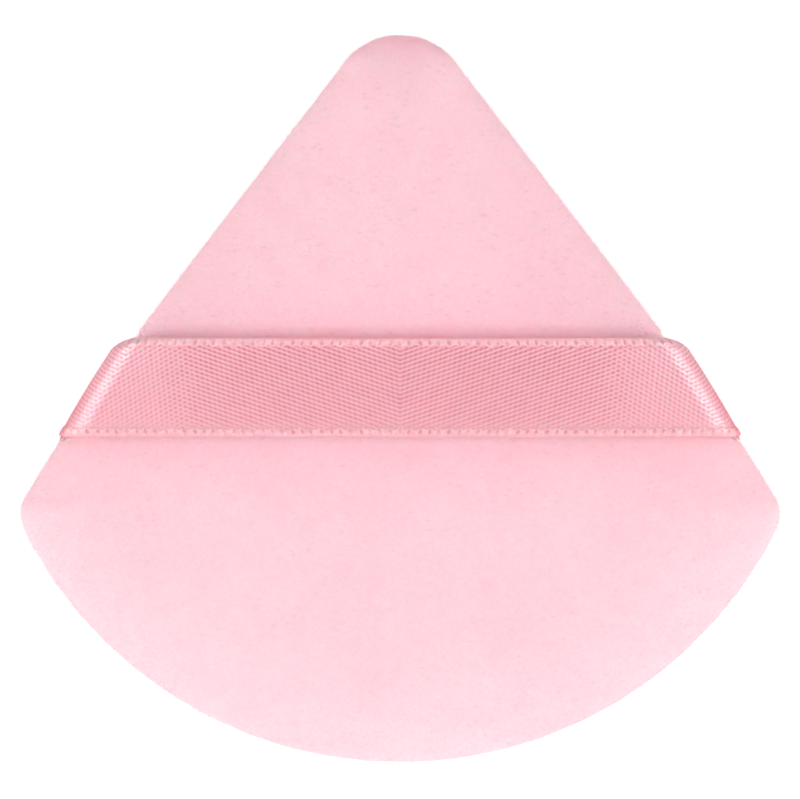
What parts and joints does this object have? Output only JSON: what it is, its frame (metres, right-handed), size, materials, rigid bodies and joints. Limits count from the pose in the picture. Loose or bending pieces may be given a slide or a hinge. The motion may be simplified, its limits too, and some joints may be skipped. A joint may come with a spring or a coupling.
{
  "type": "powder puff",
  "caption": "Fan-shaped velour powder puff: a foam pad in two sewn covers with rounded edges, and a woven ribbon strap across its back that lifts for the fingers.",
  "frame": {"origin": "on the resting plane, below the middle of the outline's box", "axes": "+X across the puff from corner to corner, +Y from the round base to the tip, +Z from the powder face up to the strap"},
  "size_m": [0.08, 0.0768, 0.0186],
  "materials": {
    "velour": "matte",
    "foam": "matte",
    "ribbon": "satin",
    "thread": "satin"
  },
  "bodies": {
    "pad": {"front_cover": "velour", "back_cover": "velour", "foam_core": "foam", "seam_needle_thread": "thread", "seam_bobbin_thread": "thread", "closing_thread": "thread", "left_ribbon_tack": "thread", "right_ribbon_tack": "thread"},
    "strap": {"ribbon_strap": "ribbon"}
  },
  "joints": [
    {"name": "strap_lift", "type": "slide", "parent": "pad", "child": "strap", "axis": [0, 0, 1], "range_m": [-0.005, 0.007], "stiffness_N_per_m": 15, "deforming": ["ribbon_strap"]}
  ]
}
